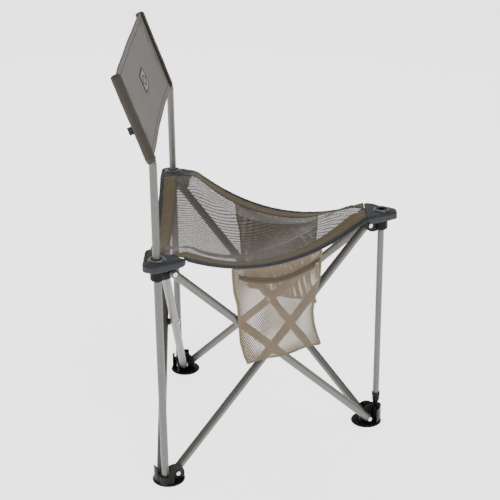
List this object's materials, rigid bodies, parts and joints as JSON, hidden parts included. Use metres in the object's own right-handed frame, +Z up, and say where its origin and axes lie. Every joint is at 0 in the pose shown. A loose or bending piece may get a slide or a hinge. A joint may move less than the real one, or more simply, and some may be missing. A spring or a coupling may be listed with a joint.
{
  "type": "folding three-cornered camp chair",
  "caption": "Folding camp chair with crossed tube legs, a three-cornered mesh sling seat, a leaning fabric backrest and mesh side pockets.",
  "frame": {"origin": "on the floor, at the middle of the chair's overall box", "axes": "+Z up, the chair faces -Y, and the two back posts stand at -X and +X"},
  "size_m": [0.53, 0.507, 0.7991],
  "materials": {
    "tube_paint": "warm grey powder coat, satin",
    "black_plastic": "black moulded plastic, fine texture",
    "rivet_steel": "bright zinc-plated steel",
    "eyelet_metal": "pressed metal eyelet, satin",
    "dark_binding": "dark grey woven binding, folded and stitched",
    "tan_hem": "tan woven polyester band",
    "seat_mesh": "taupe open mesh",
    "back_fabric": "taupe woven polyester",
    "sleeve_fabric": "brown-green woven polyester",
    "badge": "woven patch, black border and grey centre, plain",
    "pocket_mesh": "tan open net",
    "zipper_tan": "tan zipper tape and cord pull"
  },
  "bodies": {
    "root": {"near_foot": "black_plastic", "near_foot_rivets": "rivet_steel", "near_back_post": "tube_paint", "near_post_plug": "black_plastic", "near_back_sleeve": "sleeve_fabric", "sleeve_tag": "badge", "backrest_panel": "back_fabric", "backrest_badge": "badge"},
    "near_inner_leg": {"near_inner_leg": "tube_paint"},
    "near_outer_leg": {"near_outer_leg": "tube_paint", "near_cross_pin": "rivet_steel", "near_cross_spacer": "black_plastic"},
    "front_hub": {"front_hub": "black_plastic", "front_hub_rivets": "rivet_steel", "front_post": "tube_paint", "front_post_tip": "black_plastic", "front_eyelet": "eyelet_metal", "front_corner_patch": "dark_binding"},
    "near_hub": {"near_hub": "black_plastic", "near_hub_rivets": "rivet_steel", "near_eyelet": "eyelet_metal", "near_corner_patch": "dark_binding", "seat_mesh": "seat_mesh", "seat_hem": "tan_hem", "near_edge_binding": "dark_binding", "back_edge_binding": "dark_binding", "near_pocket": "pocket_mesh"},
    "front_foot": {"front_foot": "black_plastic", "front_foot_rivets": "rivet_steel"},
    "far_outer_leg": {"far_outer_leg": "tube_paint", "far_cross_pin": "rivet_steel", "far_cross_spacer": "black_plastic"},
    "far_inner_leg": {"far_inner_leg": "tube_paint"},
    "far_foot": {"far_foot": "black_plastic", "far_foot_rivets": "rivet_steel", "far_back_post": "tube_paint", "far_post_plug": "black_plastic", "far_back_sleeve": "sleeve_fabric"},
    "far_hub": {"far_hub": "black_plastic", "far_hub_rivets": "rivet_steel", "far_eyelet": "eyelet_metal", "far_corner_patch": "dark_binding", "far_edge_binding": "dark_binding", "far_pocket": "pocket_mesh"},
    "near_zipper_tape": {"near_pocket_zipper": "zipper_tan"},
    "far_zipper_tape": {"far_pocket_zipper": "zipper_tan"},
    "back_inner_leg": {"back_inner_leg": "tube_paint"},
    "back_outer_leg": {"back_outer_leg": "tube_paint", "back_cross_pin": "rivet_steel", "back_cross_spacer": "black_plastic"},
    "near_zipper_pull": {"near_zipper_pull": "zipper_tan"},
    "far_zipper_pull": {"far_zipper_pull": "zipper_tan"}
  },
  "joints": [
    {"name": "fold", "type": "hinge", "parent": "root", "child": "near_inner_leg", "pos_m": [-0.227, 0.16464, 0.017], "axis": [-0.866, -0.5, 0], "range_deg": [0, 36], "deforming": ["seat_mesh", "seat_hem", "near_edge_binding", "far_edge_binding", "back_edge_binding", "backrest_panel", "backrest_badge", "near_pocket", "near_pocket_zipper", "far_pocket", "far_pocket_zipper"]},
    {"name": "near_crossing", "type": "hinge", "parent": "near_inner_leg", "child": "near_outer_leg", "pos_m": [-0.12, -0.02069, 0.2255], "axis": [-0.866, -0.5, 0], "range_deg": [-72, 0]},
    {"name": "front_hub_near_pivot", "type": "hinge", "parent": "near_inner_leg", "child": "front_hub", "pos_m": [-0.013, -0.20602, 0.434], "axis": [-0.866, -0.5, 0], "range_deg": [-36, 0]},
    {"name": "near_hub_pivot", "type": "hinge", "parent": "near_outer_leg", "child": "near_hub", "pos_m": [-0.227, 0.16464, 0.434], "axis": [-0.866, -0.5, 0], "range_deg": [0, 36]},
    {"name": "front_foot_pivot", "type": "hinge", "parent": "near_outer_leg", "child": "front_foot", "pos_m": [-0.013, -0.20602, 0.017], "axis": [-0.866, -0.5, 0], "range_deg": [0, 36]},
    {"name": "front_hub_far_pivot", "type": "hinge", "parent": "front_hub", "child": "far_outer_leg", "pos_m": [0.013, -0.20602, 0.434], "axis": [0.866, -0.5, 0], "range_deg": [-36, 0]},
    {"name": "far_crossing", "type": "hinge", "parent": "far_outer_leg", "child": "far_inner_leg", "pos_m": [0.12, -0.02069, 0.2255], "axis": [0.866, -0.5, 0], "range_deg": [0, 72]},
    {"name": "far_foot_pivot", "type": "hinge", "parent": "far_outer_leg", "child": "far_foot", "pos_m": [0.227, 0.16464, 0.017], "axis": [0.866, -0.5, 0], "range_deg": [0, 36]},
    {"name": "far_hub_pivot", "type": "hinge", "parent": "far_inner_leg", "child": "far_hub", "pos_m": [0.227, 0.16464, 0.434], "axis": [0.866, -0.5, 0], "range_deg": [-36, 0]},
    {"name": "near_hub_back_pivot", "type": "hinge", "parent": "near_hub", "child": "back_inner_leg", "pos_m": [-0.214, 0.18715, 0.434], "axis": [0, 1, 0], "range_deg": [0, 36]},
    {"name": "back_crossing", "type": "hinge", "parent": "back_inner_leg", "child": "back_outer_leg", "pos_m": [0, 0.18715, 0.2255], "axis": [0, 1, 0], "range_deg": [-72, 0]},
    {"name": "near_tape_gather", "type": "slide", "parent": "near_hub", "child": "near_zipper_tape", "axis": [-0.5, 0.866, 0], "range_m": [0, 0.21654]},
    {"name": "near_zipper", "type": "slide", "parent": "near_zipper_tape", "child": "near_zipper_pull", "axis": [-0.5, 0.866, 0], "range_m": [0, 0.15]},
    {"name": "far_tape_gather", "type": "slide", "parent": "far_hub", "child": "far_zipper_tape", "axis": [0.5, 0.866, 0], "range_m": [0, 0.21654]},
    {"name": "far_zipper", "type": "slide", "parent": "far_zipper_tape", "child": "far_zipper_pull", "axis": [0.5, 0.866, 0], "range_m": [0, 0.15]}
  ],
  "couplings": [
    {"joint": "near_crossing", "follows": "fold", "ratio": -2},
    {"joint": "front_hub_near_pivot", "follows": "fold", "ratio": -1},
    {"joint": "near_hub_pivot", "follows": "fold", "ratio": 1},
    {"joint": "front_foot_pivot", "follows": "fold", "ratio": 1},
    {"joint": "front_hub_far_pivot", "follows": "fold", "ratio": -1},
    {"joint": "far_crossing", "follows": "fold", "ratio": 2},
    {"joint": "far_foot_pivot", "follows": "fold", "ratio": 1},
    {"joint": "far_hub_pivot", "follows": "fold", "ratio": -1},
    {"joint": "near_hub_back_pivot", "follows": "fold", "ratio": 1},
    {"joint": "back_crossing", "follows": "fold", "ratio": -2},
    {"joint": "near_tape_gather", "follows": "fold", "m_per_rad": 0.34463},
    {"joint": "far_tape_gather", "follows": "fold", "m_per_rad": 0.34463}
  ]
}
